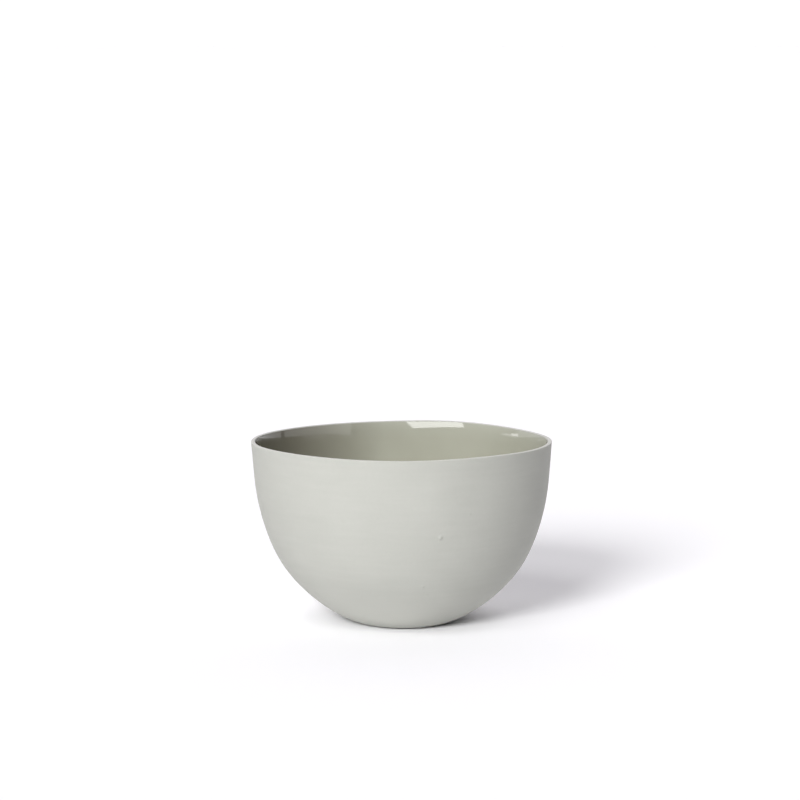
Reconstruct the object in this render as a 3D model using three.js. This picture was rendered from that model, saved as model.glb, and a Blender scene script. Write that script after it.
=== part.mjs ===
// Noodle bowl, slip-cast in pale grey porcelain: raw outside, glazed inside.
// Millimetres, +Z up. The origin is the centre of the base, on the table.
import * as THREE from "three";

// Overall size
const RIM_DIAMETER = 150;
const BOWL_HEIGHT = 90.3;
const BASE_DIAMETER = 50;

// Outer wall: it leaves the base at a low angle, sweeps up in one curve and ends in a straight band
const BASE_ANGLE = 15; // degrees above the table
const BAND_TAPER = 4.6; // degrees out from upright
const BAND_LENGTH = 18;
const BASE_PULL = 8; // how far the sweep keeps to the angle of the base
const BAND_PULL = 53; // how far the sweep keeps to the line of the band

// Thickness of the porcelain
const WALL_THICKNESS = 3.2; // at the foot of the wall, thinning evenly to the lip
const LIP_THICKNESS = 2;
const LIP_ROUNDING = 0.4; // radius of the edge on either side of the flat lip
const FLOOR_THICKNESS = 3.4; // at the centre, over the dish

// Base: a flat standing ring around a shallow dish
const DISH_DEPTH = 0.9;
const RING_WIDTH = 4;
const EDGE_SOFTENING = 1.5; // reach of the rounding on either side of the base's edge

// Inside bend between the flat floor and the wall
const FLOOR_DIAMETER = 24;
const BEND_END = 17; // distance up the outer wall at which the bend has run into the wall
const BEND_PULL = 9; // how far the bend keeps to the floor and to the wall

// Glaze coat
const GLAZE_THICKNESS = 0.4;
const GLAZE_EDGE_THICKNESS = 0.1; // where it was wiped off the lip
const GLAZE_FEATHER = 6; // length over which it rounds off to that edge
const BARE_STRIP = 0.4; // raw porcelain between the glaze and the rounding of the lip
const BOND_GAP = 0.05; // keeps the coat and the porcelain apart as two solids

// Facets
const SEGMENTS = 60;
const WALL_STEPS = 16;
const BEND_STEPS = 7;
const LIP_STEPS = 3;
const DISH_STEPS = 3;
const EDGE_STEPS = 3;

const { degToRad, lerp } = THREE.MathUtils;
const baseAngle = degToRad(BASE_ANGLE);
const bandTaper = degToRad(BAND_TAPER);
const floorLevel = DISH_DEPTH + FLOOR_THICKNESS;

// A curve beside another one, on the left of its direction, at a depth that may change along it
class ParallelCurve extends THREE.Curve {
  constructor(base, depthAt, start = 0, end = 1) {
    super();
    this.base = base;
    this.depthAt = depthAt;
    this.start = start;
    this.end = end;
  }

  getPoint(t) {
    const along = lerp(this.start, this.end, t);
    const tangent = this.base.getTangent(along);
    const left = new THREE.Vector2(-tangent.y, tangent.x);
    return this.base.getPoint(along).addScaledVector(left, this.depthAt(along));
  }
}

// Profiles are drawn in the half plane of radius (x) and height (y)
function point(radius, height) {
  return new THREE.Vector2(radius, height);
}

// The lip is flat between two rounded edges that run into the outer and the inner face of the band
function lipEdges() {
  const upright = Math.PI / 2;
  const flatWidth = (LIP_THICKNESS - 2 * LIP_ROUNDING) / Math.cos(bandTaper);
  const outerMiddle = point(RIM_DIAMETER / 2 - LIP_ROUNDING, BOWL_HEIGHT - LIP_ROUNDING);
  const innerMiddle = point(outerMiddle.x - flatWidth, outerMiddle.y);
  const rounding = (middle, startAngle, endAngle) => new THREE.EllipseCurve(
    middle.x, middle.y, LIP_ROUNDING, LIP_ROUNDING, startAngle, endAngle,
  );
  return {
    outer: rounding(outerMiddle, -bandTaper, upright),
    inner: rounding(innerMiddle, upright, Math.PI - bandTaper),
  };
}

// The outer wall from the edge of the base up to the lip
function outerWallCurve(wallEnd) {
  const leave = point(Math.cos(baseAngle), Math.sin(baseAngle));
  const arrive = point(Math.sin(bandTaper), Math.cos(bandTaper));
  const baseEdge = point(BASE_DIAMETER / 2, 0);
  const bandFoot = wallEnd.clone().addScaledVector(arrive, -BAND_LENGTH);
  const wall = new THREE.CurvePath();
  wall.add(new THREE.CubicBezierCurve(
    baseEdge,
    baseEdge.clone().addScaledVector(leave, BASE_PULL),
    bandFoot.clone().addScaledVector(arrive, -BAND_PULL),
    bandFoot,
  ));
  wall.add(new THREE.LineCurve(bandFoot, wallEnd));
  return wall;
}

// The underside from the axis to the first clean stretch of the wall: dish, standing ring, soft edge
function undersidePoints(wall) {
  const baseEdge = point(BASE_DIAMETER / 2, 0);
  const ringOuter = point(baseEdge.x - EDGE_SOFTENING, 0);
  const ringInner = point(ringOuter.x - RING_WIDTH, 0);
  const wallStart = wall.getPoint(EDGE_SOFTENING / wall.getLength());
  const dish = new THREE.QuadraticBezierCurve(
    point(0, DISH_DEPTH), point(ringInner.x / 2, DISH_DEPTH), ringInner,
  );
  const edge = new THREE.QuadraticBezierCurve(ringOuter, baseEdge, wallStart);
  return [...dish.getPoints(DISH_STEPS), ...edge.getPoints(EDGE_STEPS)];
}

// The inside from the axis to the upper edge of the glaze, as three runs: floor, bend and wall
function insideRuns(wall) {
  const wallLength = wall.getLength();
  const wallDepth = (along) => lerp(WALL_THICKNESS, LIP_THICKNESS, along);
  const glazeTop = 1 - BARE_STRIP / wallLength;
  const innerWall = new ParallelCurve(wall, wallDepth, BEND_END / wallLength, glazeTop);
  const floorEdge = point(FLOOR_DIAMETER / 2, floorLevel);
  const wallFoot = innerWall.getPoint(0);
  const bend = new THREE.CubicBezierCurve(
    floorEdge,
    floorEdge.clone().add(point(BEND_PULL, 0)),
    wallFoot.clone().addScaledVector(innerWall.getTangent(0), -BEND_PULL),
    wallFoot,
  );
  const floor = new THREE.LineCurve(point(0, floorLevel), floorEdge);
  return [
    { curve: floor, steps: 1 },
    { curve: bend, steps: BEND_STEPS },
    { curve: innerWall, steps: WALL_STEPS },
  ];
}

// The same run at a depth from the porcelain, with its points opposite the run's own
function besideRun({ curve, steps }, depthAt) {
  return { curve: new ParallelCurve(curve, depthAt), steps };
}

// Points along several runs, with the point that two runs share kept once
function tracePoints(runs) {
  return runs.flatMap(({ curve, steps }, index) => curve.getPoints(steps).slice(index === 0 ? 0 : 1));
}

function revolve(name, profile, material) {
  const geometry = new THREE.LatheGeometry(profile, SEGMENTS);
  geometry.rotateX(Math.PI / 2);
  const mesh = new THREE.Mesh(geometry, material);
  mesh.name = name;
  return mesh;
}

// Up the outside, over the lip and down the inside
function porcelainBody(wall, lip, inside) {
  const softenedShare = EDGE_SOFTENING / wall.getLength();
  const outside = new ParallelCurve(wall, () => 0, softenedShare, 1);
  const profile = [
    ...undersidePoints(wall),
    ...outside.getPoints(WALL_STEPS).slice(1),
    ...lip.outer.getPoints(LIP_STEPS).slice(1),
    ...lip.inner.getPoints(LIP_STEPS),
    ...tracePoints(inside).reverse(),
  ];
  const rawPorcelain = new THREE.MeshStandardMaterial({ color: 0xd3d4ce, roughness: 0.8, metalness: 0 });
  return revolve("porcelain_body", profile, rawPorcelain);
}

// A thin coat that follows the inside of the porcelain and rounds off to its edge below the lip
function glazeLining(inside) {
  const wallRun = inside.at(-1);
  const wallLength = wallRun.curve.getLength();
  const thicknessAt = (run, along) => {
    if (run !== wallRun) return GLAZE_THICKNESS;
    const fromEdge = (1 - along) * wallLength;
    const thinning = Math.max(0, 1 - fromEdge / GLAZE_FEATHER) ** 2;
    return lerp(GLAZE_THICKNESS, GLAZE_EDGE_THICKNESS, thinning);
  };
  const back = inside.map((run) => besideRun(run, () => BOND_GAP));
  const face = inside.map((run) => besideRun(run, (along) => BOND_GAP + thicknessAt(run, along)));
  const profile = [...tracePoints(back), ...tracePoints(face).reverse()];
  const clearGlaze = new THREE.MeshStandardMaterial({ color: 0xa6a793, roughness: 0.1, metalness: 0 });
  return revolve("glaze_lining", profile, clearGlaze);
}

const lip = lipEdges();
const wall = outerWallCurve(lip.outer.getPoint(0));
const inside = insideRuns(wall);

const bowl = new THREE.Group();
bowl.add(porcelainBody(wall, lip, inside));
bowl.add(glazeLining(inside));

export default bowl;
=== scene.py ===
"""A slip-cast porcelain noodle bowl, raw and matte outside, with a glossy glaze inside.

Lengths are in millimetres, and MM turns them into Blender's metres.
"""

import math

import bmesh
import bpy
import numpy as np
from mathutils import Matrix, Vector, noise


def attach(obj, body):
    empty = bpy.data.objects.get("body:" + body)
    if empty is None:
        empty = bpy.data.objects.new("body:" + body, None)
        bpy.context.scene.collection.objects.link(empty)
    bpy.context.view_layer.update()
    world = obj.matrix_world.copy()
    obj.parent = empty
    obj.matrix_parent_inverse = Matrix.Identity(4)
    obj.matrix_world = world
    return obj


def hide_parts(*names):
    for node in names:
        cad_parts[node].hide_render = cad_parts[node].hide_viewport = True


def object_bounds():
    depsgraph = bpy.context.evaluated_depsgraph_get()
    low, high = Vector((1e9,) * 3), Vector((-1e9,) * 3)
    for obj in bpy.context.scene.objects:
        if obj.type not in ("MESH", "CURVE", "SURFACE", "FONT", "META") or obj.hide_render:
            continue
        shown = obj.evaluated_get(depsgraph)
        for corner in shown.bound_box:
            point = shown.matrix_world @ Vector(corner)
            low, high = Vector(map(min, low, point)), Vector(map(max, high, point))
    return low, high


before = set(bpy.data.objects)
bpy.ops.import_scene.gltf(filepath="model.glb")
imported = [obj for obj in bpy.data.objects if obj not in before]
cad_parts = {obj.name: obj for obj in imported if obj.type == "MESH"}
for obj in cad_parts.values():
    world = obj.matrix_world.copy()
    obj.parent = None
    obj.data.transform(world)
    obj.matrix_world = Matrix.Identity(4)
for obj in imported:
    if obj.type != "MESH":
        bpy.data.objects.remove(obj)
cad_low, cad_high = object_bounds()
MM = 0.001

# Overall size, from the frame
RIM_RADIUS = cad_high.x / MM
HEIGHT = cad_high.z / MM

# Section of the bowl, as in the solids where nothing else is said
BASE_RADIUS = 25
BASE_ANGLE = math.radians(15)
BAND_TAPER = math.radians(4.6)
BAND_LENGTH = 18
BASE_PULL = 8
BAND_PULL = 53
WALL_THICKNESS = 3.2
LIP_THICKNESS = 2
LIP_ROUNDING = 0.4
DISH_DEPTH = 0.9
FLOOR_THICKNESS = 3.4
FLOOR_LEVEL = DISH_DEPTH + FLOOR_THICKNESS
RING_WIDTH = 4
EDGE_SOFTENING = 2.8  # softer than in the solids, which leaves a dark gap over the table
FLOOR_RADIUS = 12
BEND_END = 17
BEND_PULL = 9
GLAZE_THICKNESS = 0.55  # thicker than in the solids, so that it rounds off more at the lip
GLAZE_EDGE_THICKNESS = 0.1
GLAZE_FEATHER = 4.5  # shorter than in the solids
BARE_STRIP = 0.2  # narrower than in the solids
BOND_GAP = 0.05

# Faults of a hand-finished casting
LEAN = 0.89  # the mouth sits this far to the left of the base
BELLY = 0.6  # how far the lower wall stands out beyond the section
BELLY_HEIGHT = 27
BELLY_REACH = 13
FOOT_SPREAD = 3.2  # how much further out the foot was sanded at the front
FOOT_SPREAD_HEIGHT = 8
RIM_GRIP = 5  # how steeply an uneven rim fades down the wall
RIM_WAVES = (  # angle around the rim from the front towards the right, half width in degrees, height
    (180, 90, -0.38),
    (161, 24, 0.72),
    (118, 18, -0.30),
    (238, 38, -0.28),
    (-2, 24, -0.35),
    (-50, 25, 0.28),
    (38, 22, 0.25),
)
STILL_FOOT = 4  # the wall's ripple starts above the base and is full at this height
WALL_RIPPLE = 0.10
WALL_RIPPLE_SIZE = 26
WALL_SEED = 3.7
GLAZE_RIPPLE = 0.02
GLAZE_RIPPLE_SIZE = 12
GLAZE_SEED = 8.1
SPECKS = (  # angle from the front, height, half width and rise of each grain of grit or, below 0, pit
    (15.0, 52.1, 1.0, 0.52),
    (9.2, 26.5, 0.8, 0.30),
    (8.6, 14.7, 0.5, 0.20),
    (12.2, 21.8, 0.5, 0.18),
    (26.6, 62.8, 0.6, 0.13),
    (37.2, 49.0, 0.6, 0.13),
    (-23.4, 59.3, 0.5, -0.12),
    (19.4, 0.7, 0.8, 0.35),
)

# Fineness of the meshes
COLUMNS = 480
WALL_ROWS = 112
TRACE_STEPS = 4 * WALL_ROWS  # along the wall's curve, before its rows are picked
CROWDING = 1.7  # draws the rows of the inner wall together towards the lip
BEND_ROWS = 18
HIDDEN_WALL_ROWS = 24
HIDDEN_BEND_ROWS = 8
LIP_ROWS = 6
DISH_ROWS = 10
EDGE_ROWS = 5
FLOOR_ROWS = 4
SPECK_CUTS = 4
SPECK_REACH = 3.5  # half widths around a grain that get the finer mesh

# View of the photograph
CAMERA_PLACE = (-1.58, -1483.8, 292.4)
CAMERA_PITCH = math.radians(7)
CAMERA_LENS = 135
CAMERA_SENSOR = 36
CAMERA_REACH = 100000

# Textures: sizes and depths in millimetres, colours as linear light
NOISE_DETAIL = 3
NOISE_LIMITS = (0.3, 0.7)  # between these lies nearly all of a noise
CLOUD_SIZE = 24

# Porcelain
PORCELAIN_DARK = (0.391, 0.395, 0.362)
PORCELAIN_PALE = (0.420, 0.424, 0.390)
PORCELAIN_PAINTED_BOUNCE = (0.480, 0.483, 0.446)  # painted light: paler low on the wall, standing in for light bounced up from the table
PAINTED_BOUNCE_HEIGHT = 24
CLOUD_WEIGHT = 0.4
STREAK_WEIGHT = 0.3
GRAIN_WEIGHT = 0.3
TONE_LIMITS = (0.35, 0.65)
STREAK_SIZE = 26
STREAK_FLATNESS = 12
STREAK_DEPTH = 0.05
STREAK_STRENGTH = 0.2
GRAIN_SIZE = 1.5
TOOTH_SIZE = 0.9
TOOTH_DEPTH = 0.03
TOOTH_STRENGTH = 0.35
LIP_FACING = (0.35, 0.85)  # share of upright in the surface's direction, from wall to lip; this mask also sets where the lip is painted paler as top light
LIP_SMOOTHNESS = 0.38  # taken off the roughness on the lip, which was rubbed smooth
# painted light: the up-facing lip made paler, standing in for the top light and sheen it catches
PAINTED_LIP_TOP_LIGHT = (0.560, 0.563, 0.525)
PORCELAIN_ROUGHNESS = (0.70, 0.82)
PORCELAIN_SHEEN = 0.5

# Glaze
GLAZE_DARK = (0.337, 0.338, 0.276)
GLAZE_PALE = (0.360, 0.361, 0.298)
GLAZE_THIN = (0.450, 0.455, 0.400)
THIN_REACH = 9
THIN_SHARE = 0.35
GLAZE_POOLED = (0.250, 0.258, 0.195)
POOL_REACH = 16
POOL_SHARE = 0.3
GLAZE_LEFT_SHADE = (0.175, 0.164, 0.128)  # painted shade: darker and browner on the left of the inside, which the key light does not reach
LEFT_SHADE_START = -10
LEFT_SHADE_END = -62
GLAZE_ROUGHNESS = (0.025, 0.060)
GLAZE_PEEL_SIZE = 6
GLAZE_PEEL_DEPTH = 0.01
GLAZE_PEEL_STRENGTH = 0.2

# Studio
WHITE = (1, 1, 1, 1)
BLACK = (0, 0, 0, 1)
FAR = 6000  # distance of the lamps and of the panels
ROOM_LIGHT = (  # degrees left of the camera, elevation and strength of each bright part of the room
    (180, 45, 0.58),
    (180, 10, 0.28),
    (225, 10, 0.33),
    (135, 30, 0.16),
)
ROOM_COLOUR = (1.015, 0.985, 1.02, 1)
BACKDROP_STRENGTH = 1.1
TABLE_REACH = 60000  # from the bowl to each side of the table
TABLE_GAP = 0.02  # keeps the table just clear of the base
PAPER_WHITE = (0.928, 0.926, 0.942, 1)
PAPER_ROUGHNESS = 0.9
PAPER_SHEEN = 0.1
# painted light: the paper glows though it is no lamp
PAPER_PAINTED_GLOW = 0.14
PAPER_GLOW_COLOUR = (1.0, 0.99, 1.04, 1)
GLOW_START = 28  # distances from the bowl's axis between which the painted glow sets in; nearer the bowl it is left out, which paints a contact shade around the foot
GLOW_FULL = 54


# Section lines

def straight(start, end, steps):
    t = np.linspace(0, 1, steps + 1)[:, None]
    return (1 - t) * start + t * end


def quadratic(start, pull, end, steps):
    t = np.linspace(0, 1, steps + 1)[:, None]
    return (1 - t) ** 2 * start + 2 * (1 - t) * t * pull + t ** 2 * end


def cubic(start, pull_start, pull_end, end, steps):
    t = np.linspace(0, 1, steps + 1)[:, None]
    return (
        (1 - t) ** 3 * start
        + 3 * (1 - t) ** 2 * t * pull_start
        + 3 * (1 - t) * t ** 2 * pull_end
        + t ** 3 * end
    )


def arc(middle, radius, first_angle, last_angle, steps):
    angles = np.linspace(first_angle, last_angle, steps + 1)
    return middle + radius * np.column_stack([np.cos(angles), np.sin(angles)])


def distances(line):
    """How far along the line each of its points lies."""
    return np.r_[0, np.cumsum(np.linalg.norm(np.diff(line, axis=0), axis=1))]


def points_at(line, marks, wanted):
    """Points of the line where its marks, one for each point, pass the wanted values."""
    return np.column_stack([np.interp(wanted, marks, line[:, axis]) for axis in (0, 1)])


def left_of(line):
    """Unit vectors square to the line, on the left of its direction."""
    tangent = np.gradient(line, axis=0)
    tangent /= np.linalg.norm(tangent, axis=1)[:, None]
    return np.column_stack([-tangent[:, 1], tangent[:, 0]])


def beside(line, depth):
    """The line moved to its left by a depth, which may differ from point to point."""
    return line + left_of(line) * np.reshape(depth, (-1, 1))


def lip_edges():
    """The two rounded edges of the flat lip, from the outer face of the band over to its inner face."""
    upright = math.pi / 2
    flat_width = (LIP_THICKNESS - 2 * LIP_ROUNDING) / math.cos(BAND_TAPER)
    outer_middle = np.array([RIM_RADIUS - LIP_ROUNDING, HEIGHT - LIP_ROUNDING])
    inner_middle = outer_middle - (flat_width, 0)
    outer = arc(outer_middle, LIP_ROUNDING, -BAND_TAPER, upright, LIP_ROWS)
    inner = arc(inner_middle, LIP_ROUNDING, upright, math.pi - BAND_TAPER, LIP_ROWS)
    return np.vstack([outer, inner])


def outer_wall():
    """The outer wall from the edge of the base to the lip, at even steps, with its distances."""
    leave = np.array([math.cos(BASE_ANGLE), math.sin(BASE_ANGLE)])
    arrive = np.array([math.sin(BAND_TAPER), math.cos(BAND_TAPER)])
    base_edge = np.array([BASE_RADIUS, 0.0])
    wall_end = lip_edges()[0]
    band_foot = wall_end - arrive * BAND_LENGTH
    sweep = cubic(
        base_edge,
        base_edge + leave * BASE_PULL,
        band_foot - arrive * BAND_PULL,
        band_foot,
        TRACE_STEPS,
    )
    band = straight(band_foot, wall_end, WALL_ROWS)
    rough = np.vstack([sweep, band[1:]])
    run = distances(rough)
    steps = np.linspace(0, run[-1], TRACE_STEPS + 1)
    return points_at(rough, run, steps), steps


def underside(wall, run):
    """From the axis out: a shallow dish, the standing ring and the soft edge of the base."""
    ring_outer = np.array([BASE_RADIUS - EDGE_SOFTENING, 0.0])
    ring_inner = ring_outer - (RING_WIDTH, 0)
    dish = quadratic(
        np.array([0.0, DISH_DEPTH]),
        np.array([ring_inner[0] / 2, DISH_DEPTH]),
        ring_inner,
        DISH_ROWS,
    )
    wall_start = points_at(wall, run, [EDGE_SOFTENING])[0]
    edge = quadratic(ring_outer, np.array([BASE_RADIUS, 0.0]), wall_start, EDGE_ROWS)
    return np.vstack([dish, edge])


def inside(wall, run, wall_rows, bend_rows):
    """From the axis out over the floor, round the bend and up the wall to the edge of the glaze."""
    thickness = np.interp(run, (0, run[-1]), (WALL_THICKNESS, LIP_THICKNESS))
    inner = beside(wall, thickness)
    glaze_top = run[-1] - BARE_STRIP
    down = np.linspace(1, 0, wall_rows + 1) ** CROWDING
    upper = points_at(inner, run, glaze_top - (glaze_top - BEND_END) * down)
    foot_tangent = upper[1] - upper[0]
    foot_tangent /= np.linalg.norm(foot_tangent)
    floor_edge = np.array([FLOOR_RADIUS, FLOOR_LEVEL])
    bend = cubic(
        floor_edge,
        floor_edge + (BEND_PULL, 0),
        upper[0] - foot_tangent * BEND_PULL,
        upper[0],
        bend_rows,
    )
    floor = straight(np.array([0.0, FLOOR_LEVEL]), floor_edge, FLOOR_ROWS)
    return np.vstack([floor, bend[1:], upper[1:]])


def porcelain_section():
    """Up the outside, over the lip and down under the glaze, and how freely each point ripples."""
    wall, run = outer_wall()
    below = underside(wall, run)
    outside = points_at(wall, run, np.linspace(EDGE_SOFTENING, run[-1], WALL_ROWS + 1))[1:]
    lip = lip_edges()[1:]
    under_glaze = inside(wall, run, HIDDEN_WALL_ROWS, HIDDEN_BEND_ROWS)[::-1]
    freedom = np.concatenate([
        np.zeros(len(below)),
        np.clip(outside[:, 1] / STILL_FOOT, 0, 1),
        np.linspace(1, 0, len(lip)),
        np.zeros(len(under_glaze)),
    ])
    return np.vstack([below, outside, lip, under_glaze]), freedom


def glaze_section():
    """Out along the back of the coat, round its thin edge and back along its face, and its freedom."""
    wall, run = outer_wall()
    back = beside(inside(wall, run, HIDDEN_WALL_ROWS, HIDDEN_BEND_ROWS), BOND_GAP)
    bed = inside(wall, run, WALL_ROWS, BEND_ROWS)
    to_edge = distances(bed)[-1] - distances(bed)
    inward = np.clip(to_edge / GLAZE_FEATHER, 0, 1)
    coat = GLAZE_THICKNESS - (GLAZE_THICKNESS - GLAZE_EDGE_THICKNESS) * (1 - inward) ** 2
    face = beside(bed, BOND_GAP + coat)
    back[0, 0] = 0.0  # both ends stay on the axis
    face[0, 0] = 0.0
    freedom = np.concatenate([np.zeros(len(back)), inward[::-1]])
    return np.vstack([back, face[::-1]]), freedom


# Solids of revolution and their hand-made faults

def around_front(points):
    """Angle of each point around the axis, in degrees from the front towards the right."""
    return np.degrees(np.arctan2(points[:, 0], -points[:, 1]))


def bell(distance, reach):
    """1 in the middle, about a third at this reach, and fading out beyond it."""
    return np.exp(-((distance / reach) ** 2))


def turned(radius, height):
    """A point or direction with each radius and height, for every column of the mesh."""
    angles = np.linspace(0, 2 * math.pi, COLUMNS, endpoint=False)
    return np.stack([
        radius[:, None] * np.sin(angles),
        -radius[:, None] * np.cos(angles),
        np.repeat(height[:, None], COLUMNS, axis=1),
    ], axis=-1).reshape(-1, 3)


def revolved(section, freedom, ripple, ripple_size, seed):
    """Points and faces of a closed solid from a section that starts and ends on the axis."""
    rings = section[1:-1]
    outward = -left_of(section)[1:-1]
    points = turned(rings[:, 0], rings[:, 1])
    normals = turned(outward[:, 0], outward[:, 1])
    shift = Vector((seed, 0, 0))
    waves = np.array([noise.noise(Vector(point) / ripple_size + shift) for point in points])
    points += normals * (ripple * waves * np.repeat(freedom[1:-1], COLUMNS))[:, None]
    first = [(0.0, 0.0, section[0, 1])]
    last = [(0.0, 0.0, section[-1, 1])]
    points = np.vstack([first, points, last])

    column = np.arange(COLUMNS)
    beyond = (column + 1) % COLUMNS
    faces = [(0, 1 + b, 1 + a) for a, b in zip(column.tolist(), beyond.tolist())]
    for ring in range(len(rings) - 1):
        low = 1 + ring * COLUMNS
        high = low + COLUMNS
        faces += np.column_stack([low + column, low + beyond, high + beyond, high + column]).tolist()
    top = 1 + (len(rings) - 1) * COLUMNS
    faces += [(top + a, top + b, len(points) - 1) for a, b in zip(column.tolist(), beyond.tolist())]
    return points, faces


def shaped_by_hand(points):
    """The bowl's lean, its fuller lower wall, its foot spread to the front and its uneven rim."""
    level = points[:, 2]
    up = np.clip(level / HEIGHT, 0, 1)
    radius = np.hypot(points[:, 0], points[:, 1])
    angle = around_front(points)
    on_wall = np.clip(radius / BASE_RADIUS - 1, 0, 1)
    belly = BELLY * on_wall * bell(level - BELLY_HEIGHT, BELLY_REACH)
    frontal = np.clip(np.cos(np.radians(angle)), 0, 1) ** 2
    at_foot = np.clip(radius / BASE_RADIUS, 0, 1) * bell(level, FOOT_SPREAD_HEIGHT)
    rise = np.zeros(len(points))
    for middle, half_width, height in RIM_WAVES:
        away = (angle - middle + 180) % 360 - 180
        rise += height * bell(away, half_width)

    moved = points.copy()
    moved[:, :2] *= (1 + belly / np.maximum(radius, BASE_RADIUS))[:, None]
    moved[:, 0] -= LEAN * up
    moved[:, 1] -= FOOT_SPREAD * frontal * at_foot
    moved[:, 2] += rise * up ** RIM_GRIP
    return moved


def make_mesh(name, points, faces):
    mesh = bpy.data.meshes.new(name)
    mesh.from_pydata((points * MM).tolist(), [], faces)
    mesh.shade_smooth()
    return mesh


def add_specks(mesh):
    """Raises small grains of grit on the outer wall, on a mesh that is made finer around each one."""
    wall, _ = outer_wall()
    solid = bmesh.new()
    solid.from_mesh(mesh)
    for angle, height, half_width, rise in SPECKS:
        radius = np.interp(height, wall[:, 1], wall[:, 0])
        turn = math.radians(angle)
        place = np.array([[radius * math.sin(turn), -radius * math.cos(turn), height]])
        centre = Vector(shaped_by_hand(place)[0]) * MM
        reach = SPECK_REACH * half_width * MM
        near = [face for face in solid.faces if (face.calc_center_median() - centre).length < reach]
        edges = {edge for face in near for edge in face.edges}
        bmesh.ops.subdivide_edges(solid, edges=list(edges), cuts=SPECK_CUTS, use_grid_fill=True)
        solid.normal_update()
        for vertex in solid.verts:
            away = (vertex.co - centre).length
            if away < reach:
                vertex.co += vertex.normal * rise * MM * bell(away, half_width * MM)
    solid.to_mesh(mesh)
    solid.free()
    mesh.shade_smooth()


# Materials

MIX_COLOUR_A = 6  # places of the colour sockets in a Mix node, whose names several sockets share
MIX_COLOUR_B = 7
MIX_COLOUR_RESULT = 2


class Nodes:
    """Short ways to add and link nodes in one tree."""

    def __init__(self, tree):
        self.tree = tree

    def add(self, kind, **settings):
        made = self.tree.nodes.new(kind)
        for name, value in settings.items():
            setattr(made, name, value)
        return made

    def link(self, source, target):
        self.tree.links.new(source, target)

    def feed(self, socket, value):
        """Sets the socket to a number or a colour, or links it to another socket."""
        if isinstance(value, (int, float)):
            socket.default_value = value
        elif isinstance(value, tuple):
            socket.default_value = (*value, 1)
        else:
            self.link(value, socket)

    def math(self, operation, *values):
        made = self.add("ShaderNodeMath", operation=operation)
        for socket, value in zip(made.inputs, values):
            self.feed(socket, value)
        return made.outputs[0]

    def weighted(self, parts):
        """The sum of several values, each with its own weight."""
        total = 0
        for value, weight in parts:
            total = self.math("MULTIPLY_ADD", value, weight, total)
        return total

    def spread(self, value, limits, new_limits):
        """The value, stretched from its limits to the new ones and held between them."""
        made = self.add("ShaderNodeMapRange")
        self.link(value, made.inputs["Value"])
        for name, number in zip(("From Min", "From Max", "To Min", "To Max"), (*limits, *new_limits)):
            made.inputs[name].default_value = number
        return made.outputs["Result"]

    def axis(self, place, name):
        made = self.add("ShaderNodeSeparateXYZ")
        self.link(place, made.inputs[0])
        return made.outputs[name]

    def noise(self, place, size):
        """A soft noise whose features are this many millimetres wide."""
        made = self.add("ShaderNodeTexNoise")
        made.inputs["Scale"].default_value = 1 / (size * MM)
        made.inputs["Detail"].default_value = NOISE_DETAIL
        self.link(place, made.inputs["Vector"])
        return made.outputs["Fac"]

    def blend(self, share, first, second):
        """A colour between two, each a socket or three numbers."""
        made = self.add("ShaderNodeMix", data_type="RGBA")
        self.link(share, made.inputs["Factor"])
        self.feed(made.inputs[MIX_COLOUR_A], first)
        self.feed(made.inputs[MIX_COLOUR_B], second)
        return made.outputs[MIX_COLOUR_RESULT]

    def flattened(self, place, times):
        """Texture places at which features are this many times lower than they are wide."""
        made = self.add("ShaderNodeMapping")
        made.inputs["Scale"].default_value = (1, 1, times)
        self.link(place, made.inputs["Vector"])
        return made.outputs["Vector"]

    def bump(self, height, distance, strength, under=None):
        made = self.add("ShaderNodeBump")
        made.inputs["Distance"].default_value = distance * MM
        self.feed(made.inputs["Strength"], strength)
        self.link(height, made.inputs["Height"])
        if under is not None:
            self.link(under, made.inputs["Normal"])
        return made.outputs["Normal"]


def new_material(name):
    """A material with its nodes, its shader, and places on the surface to set textures by."""
    material = bpy.data.materials.new(name)
    material.use_nodes = True
    nodes = Nodes(material.node_tree)
    shader = material.node_tree.nodes["Principled BSDF"]
    place = nodes.add("ShaderNodeTexCoord").outputs["Object"]
    return material, nodes, shader, place


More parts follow.
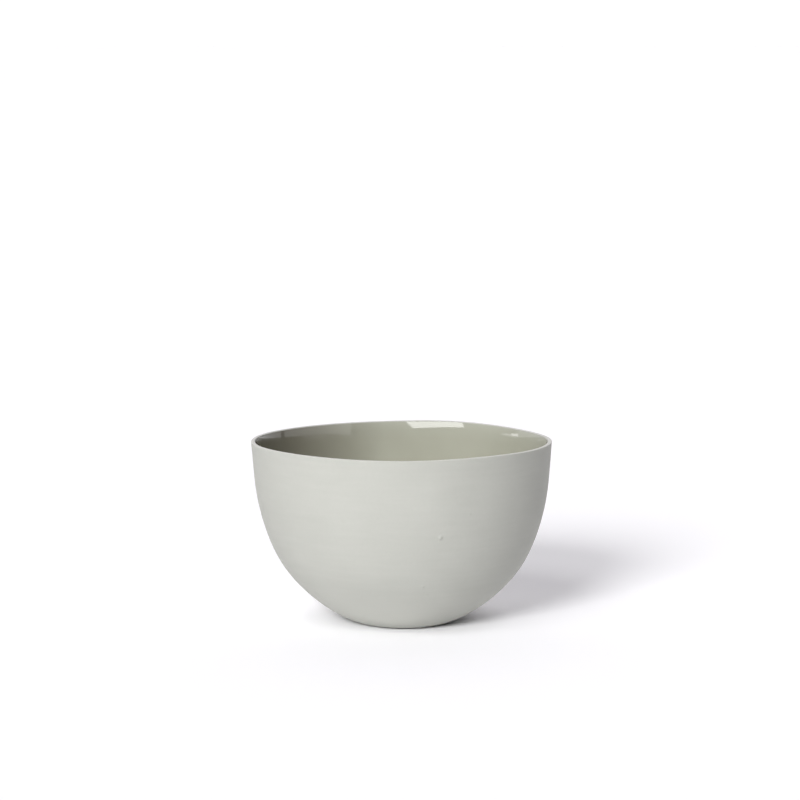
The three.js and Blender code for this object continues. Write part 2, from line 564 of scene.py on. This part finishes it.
def sanded_porcelain():
    """Unglazed, sanded porcelain: faint clouds, streaks and grain, a smooth lip, painted light that makes
    the lower wall paler, and painted top light that makes the up-facing lip paler.
    """
    material, nodes, shader, place = new_material("sanded_porcelain")
    level = nodes.axis(place, "Z")
    clouds = nodes.noise(place, CLOUD_SIZE)
    streaks = nodes.noise(nodes.flattened(place, STREAK_FLATNESS), STREAK_SIZE)
    grain = nodes.noise(place, GRAIN_SIZE)
    facing = nodes.add("ShaderNodeNewGeometry").outputs["Normal"]
    lip = nodes.spread(nodes.axis(facing, "Z"), LIP_FACING, (0, 1))

    tone = nodes.weighted(((clouds, CLOUD_WEIGHT), (streaks, STREAK_WEIGHT), (grain, GRAIN_WEIGHT)))
    colour = nodes.blend(nodes.spread(tone, TONE_LIMITS, (0, 1)), PORCELAIN_DARK, PORCELAIN_PALE)
    # painted light: the wall is made paler towards the base, standing in for light bounced up from the
    # white table
    foot = nodes.spread(level, (0, PAINTED_BOUNCE_HEIGHT * MM), (1, 0))
    colour = nodes.blend(foot, colour, PORCELAIN_PAINTED_BOUNCE)
    # painted light: paler where the surface faces up, standing in for top light on the lip
    nodes.link(nodes.blend(lip, colour, PAINTED_LIP_TOP_LIGHT), shader.inputs["Base Color"])

    shader.inputs["Specular IOR Level"].default_value = PORCELAIN_SHEEN
    matte = nodes.spread(grain, NOISE_LIMITS, PORCELAIN_ROUGHNESS)
    roughness = nodes.weighted(((matte, 1), (lip, -LIP_SMOOTHNESS)))
    nodes.link(roughness, shader.inputs["Roughness"])

    tooth_left = nodes.spread(lip, (0, 1), (TOOTH_STRENGTH, 0))
    streak_left = nodes.spread(lip, (0, 1), (STREAK_STRENGTH, 0))
    tooth = nodes.bump(nodes.noise(place, TOOTH_SIZE), TOOTH_DEPTH, tooth_left)
    nodes.link(nodes.bump(streaks, STREAK_DEPTH, streak_left, tooth), shader.inputs["Normal"])
    return material


def glossy_glaze():
    """Glossy glaze that darkens the porcelain: paler near the lip, darker where it pooled, and painted
    shade on the left of the inside.
    """
    material, nodes, shader, place = new_material("glossy_glaze")
    level = nodes.axis(place, "Z")
    clouds = nodes.spread(nodes.noise(place, CLOUD_SIZE), NOISE_LIMITS, (0, 1))
    colour = nodes.blend(clouds, GLAZE_DARK, GLAZE_PALE)
    thin = nodes.spread(level, ((HEIGHT - THIN_REACH) * MM, HEIGHT * MM), (0, THIN_SHARE))
    colour = nodes.blend(thin, colour, GLAZE_THIN)
    pooled = nodes.spread(level, (FLOOR_LEVEL * MM, (FLOOR_LEVEL + POOL_REACH) * MM), (POOL_SHARE, 0))
    colour = nodes.blend(pooled, colour, GLAZE_POOLED)
    # painted shade: darker towards the left inner wall, which the key light does not reach
    painted_left_shade = nodes.spread(nodes.axis(place, "X"), (LEFT_SHADE_END * MM, LEFT_SHADE_START * MM), (1, 0))
    nodes.link(nodes.blend(painted_left_shade, colour, GLAZE_LEFT_SHADE), shader.inputs["Base Color"])

    ripples = nodes.noise(place, GLAZE_PEEL_SIZE)
    nodes.link(nodes.spread(ripples, NOISE_LIMITS, GLAZE_ROUGHNESS), shader.inputs["Roughness"])
    nodes.link(nodes.bump(ripples, GLAZE_PEEL_DEPTH, GLAZE_PEEL_STRENGTH), shader.inputs["Normal"])
    return material


# Pieces

def add_piece(name, mesh, material, node):
    mesh.materials.append(material)
    piece = bpy.data.objects.new(name, mesh)
    bpy.context.scene.collection.objects.link(piece)
    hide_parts(node)
    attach(piece, "root")


def add_porcelain():
    section, freedom = porcelain_section()
    points, faces = revolved(section, freedom, WALL_RIPPLE, WALL_RIPPLE_SIZE, WALL_SEED)
    mesh = make_mesh("bowl_porcelain", shaped_by_hand(points), faces)
    add_specks(mesh)
    add_piece("bowl_porcelain", mesh, sanded_porcelain(), "porcelain_body")


def add_glaze():
    section, freedom = glaze_section()
    points, faces = revolved(section, freedom, GLAZE_RIPPLE, GLAZE_RIPPLE_SIZE, GLAZE_SEED)
    mesh = make_mesh("bowl_glaze", shaped_by_hand(points), faces)
    add_piece("bowl_glaze", mesh, glossy_glaze(), "glaze_lining")


# Studio

def from_camera_side(azimuth, elevation, distance):
    """A place seen from the bowl at this many degrees left of the camera and above the table."""
    turn = math.radians(azimuth)
    lift = math.radians(elevation)
    across = distance * math.cos(lift)
    return Vector((-across * math.sin(turn), -across * math.cos(turn), distance * math.sin(lift)))


def add_table():
    side = TABLE_REACH * MM
    corners = [(-side, -side, 0), (side, -side, 0), (side, side, 0), (-side, side, 0)]
    mesh = bpy.data.meshes.new("table")
    mesh.from_pydata(corners, [], [range(len(corners))])
    mesh.materials.append(white_paper())
    table = bpy.data.objects.new("table", mesh)
    table.location.z = -TABLE_GAP * MM
    bpy.context.scene.collection.objects.link(table)


def white_paper():
    """White paper with a painted glow that lights the bowl from below, left out near the bowl so that it
    paints a contact shade around the foot.
    """
    material, nodes, shader, place = new_material("white_paper")
    shader.inputs["Base Color"].default_value = PAPER_WHITE
    shader.inputs["Roughness"].default_value = PAPER_ROUGHNESS
    shader.inputs["Specular IOR Level"].default_value = PAPER_SHEEN
    outward = nodes.add("ShaderNodeVectorMath", operation="LENGTH")
    nodes.link(place, outward.inputs[0])
    # painted light and painted shade: the paper glows, except close to the bowl
    painted_glow = nodes.spread(outward.outputs["Value"], (GLOW_START * MM, GLOW_FULL * MM), (0, PAPER_PAINTED_GLOW))
    shader.inputs["Emission Color"].default_value = PAPER_GLOW_COLOUR
    nodes.link(painted_glow, shader.inputs["Emission Strength"])
    return material


def add_far_lamp(name, azimuth, elevation, width, strength):
    """A round lamp far off, this many degrees wide, which lights bowl and table but not their gloss."""
    lamp = bpy.data.lights.new(name, "SUN")
    lamp.angle = math.radians(width)
    lamp.energy = math.pi * strength  # white paper that faces the lamp is then this bright
    holder = bpy.data.objects.new(name, lamp)
    holder.location = from_camera_side(azimuth, elevation, FAR * MM)
    holder.rotation_euler = (-holder.location).to_track_quat("-Z", "Y").to_euler()
    holder.visible_glossy = False
    bpy.context.scene.collection.objects.link(holder)


def upright(first, last, low, high):
    """Corners of a panel with upright sides, from its limits in degrees."""
    return (first, low), (last, low), (last, high), (first, high)


def add_panel(name, radiance, corners):
    """A bright panel far off, seen only in the gloss. Corners: degrees left of the camera and upwards."""
    places = [from_camera_side(azimuth, elevation, FAR * MM) for azimuth, elevation in corners]
    mesh = bpy.data.meshes.new(name)
    mesh.from_pydata(places, [], [range(len(places))])
    material, _, shader, _ = new_material(name)
    shader.inputs["Base Color"].default_value = BLACK
    shader.inputs["Emission Color"].default_value = WHITE
    shader.inputs["Emission Strength"].default_value = radiance
    mesh.materials.append(material)
    panel = bpy.data.objects.new(name, mesh)
    panel.visible_camera = False
    panel.visible_diffuse = False
    panel.visible_shadow = False
    bpy.context.scene.collection.objects.link(panel)


def add_world():
    """The room's soft light, and the white paper that the camera sees behind the bowl."""
    world = bpy.data.worlds.new("studio")
    bpy.context.scene.world = world
    world.use_nodes = True
    nodes = Nodes(world.node_tree)
    room = world.node_tree.nodes["Background"]
    direction = nodes.add("ShaderNodeTexCoord").outputs["Generated"]
    light = []
    for azimuth, elevation, strength in ROOM_LIGHT:
        towards = nodes.add("ShaderNodeVectorMath", operation="DOT_PRODUCT")
        towards.inputs[1].default_value = from_camera_side(azimuth, elevation, 1)
        nodes.link(direction, towards.inputs[0])
        facing = nodes.math("MAXIMUM", towards.outputs["Value"], 0.0)
        light.append((nodes.math("MULTIPLY", facing, facing), strength))
    nodes.link(nodes.weighted(light), room.inputs["Strength"])
    room.inputs["Color"].default_value = ROOM_COLOUR
    paper = nodes.add("ShaderNodeBackground")
    paper.inputs["Strength"].default_value = BACKDROP_STRENGTH
    paper.inputs["Color"].default_value = WHITE
    seen = nodes.add("ShaderNodeMixShader")
    nodes.link(nodes.add("ShaderNodeLightPath").outputs["Is Camera Ray"], seen.inputs[0])
    nodes.link(room.outputs[0], seen.inputs[1])
    nodes.link(paper.outputs[0], seen.inputs[2])
    nodes.link(seen.outputs[0], world.node_tree.nodes["World Output"].inputs["Surface"])


def add_camera():
    lens = bpy.data.cameras.new("camera")
    lens.lens = CAMERA_LENS
    lens.sensor_width = CAMERA_SENSOR
    lens.clip_end = CAMERA_REACH * MM
    camera = bpy.data.objects.new("camera", lens)
    camera.location = Vector(CAMERA_PLACE) * MM
    camera.rotation_euler = (math.pi / 2 - CAMERA_PITCH, 0, 0)
    bpy.context.scene.collection.objects.link(camera)
    bpy.context.scene.camera = camera


add_porcelain()
add_glaze()
add_table()
add_far_lamp("key", azimuth=22, elevation=24, width=19, strength=1.05)
add_far_lamp("high_fill", azimuth=30, elevation=50, width=24, strength=0.21)
add_panel("softbox", radiance=8.2, corners=((9.5, 8.4), (53, 12.5), (51, 40), (0, 40)))
add_panel("pale_wall", radiance=1.2, corners=upright(-42, -110, 1, 25))
add_panel("backdrop_right", radiance=1.25, corners=upright(-115, -160, 0, 30))
add_panel("backdrop_left", radiance=1.0, corners=upright(109, 160, 0, 30))
add_panel("window", radiance=4.4, corners=upright(101, 109, 0, 8))
add_panel("window_side", radiance=2.2, corners=upright(90, 101, 0, 6.5))
add_world()
add_camera()
bpy.context.scene.view_settings.view_transform = "Standard"
